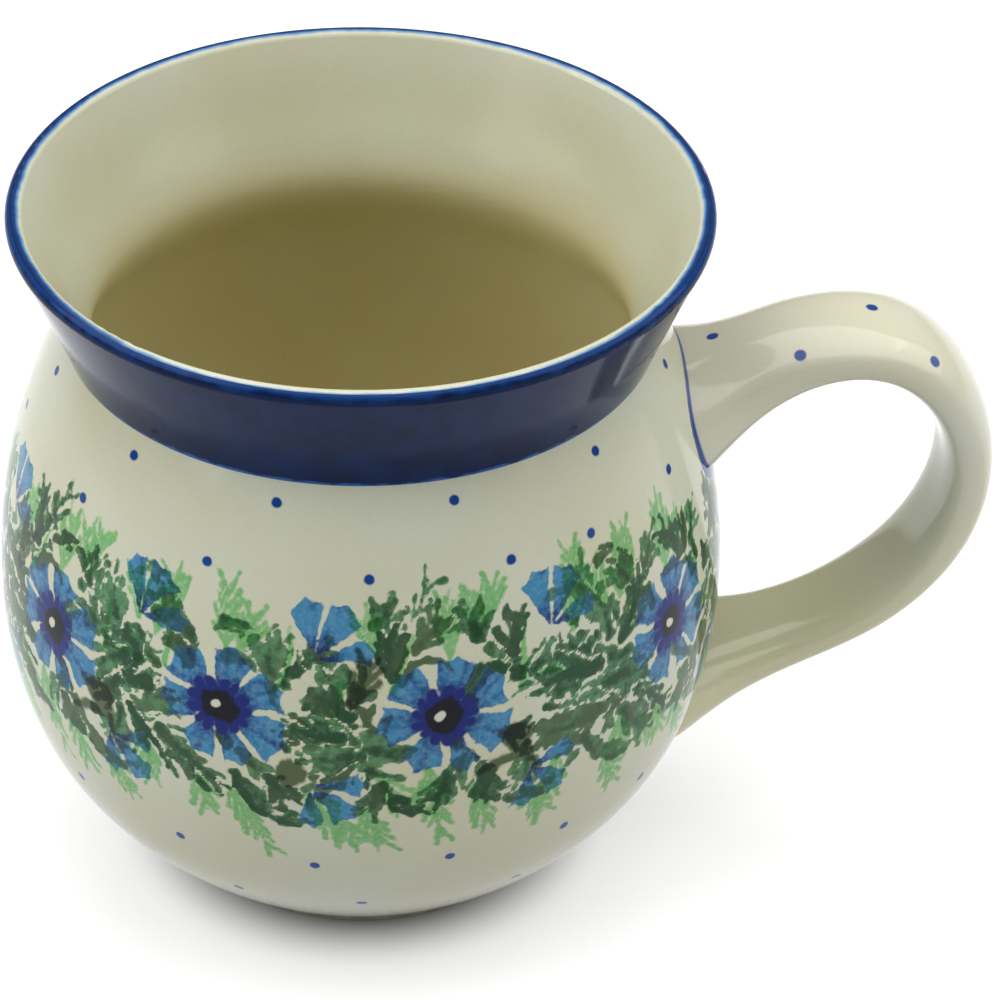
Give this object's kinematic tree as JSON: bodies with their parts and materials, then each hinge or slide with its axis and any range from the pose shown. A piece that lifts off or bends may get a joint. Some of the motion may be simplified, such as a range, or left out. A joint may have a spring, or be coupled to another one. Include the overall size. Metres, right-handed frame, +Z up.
{
  "type": "stoneware mug",
  "caption": "Round-bellied stoneware mug with a flared cobalt collar, a painted flower wreath and a strap handle.",
  "frame": {"origin": "on the mug's axis, in the plane that the foot ring stands on", "axes": "+Z up along the mug's axis, +X towards the handle"},
  "size_m": [0.1349, 0.0976, 0.1005],
  "materials": {
    "stoneware_clay": "matte",
    "slip": "matte",
    "lining_glaze": "gloss",
    "cobalt_glaze": "gloss",
    "painted_glaze": "gloss",
    "handle_glaze": "gloss",
    "base_glaze": "gloss"
  },
  "bodies": {
    "root": {"body": "stoneware_clay", "handle": "stoneware_clay", "upper_slip_joint": "slip", "lower_slip_joint": "slip", "lining_glaze": "lining_glaze", "collar_glaze": "cobalt_glaze", "wall_glaze": "painted_glaze", "handle_glaze": "handle_glaze", "base_glaze": "base_glaze"}
  },
  "joints": []
}
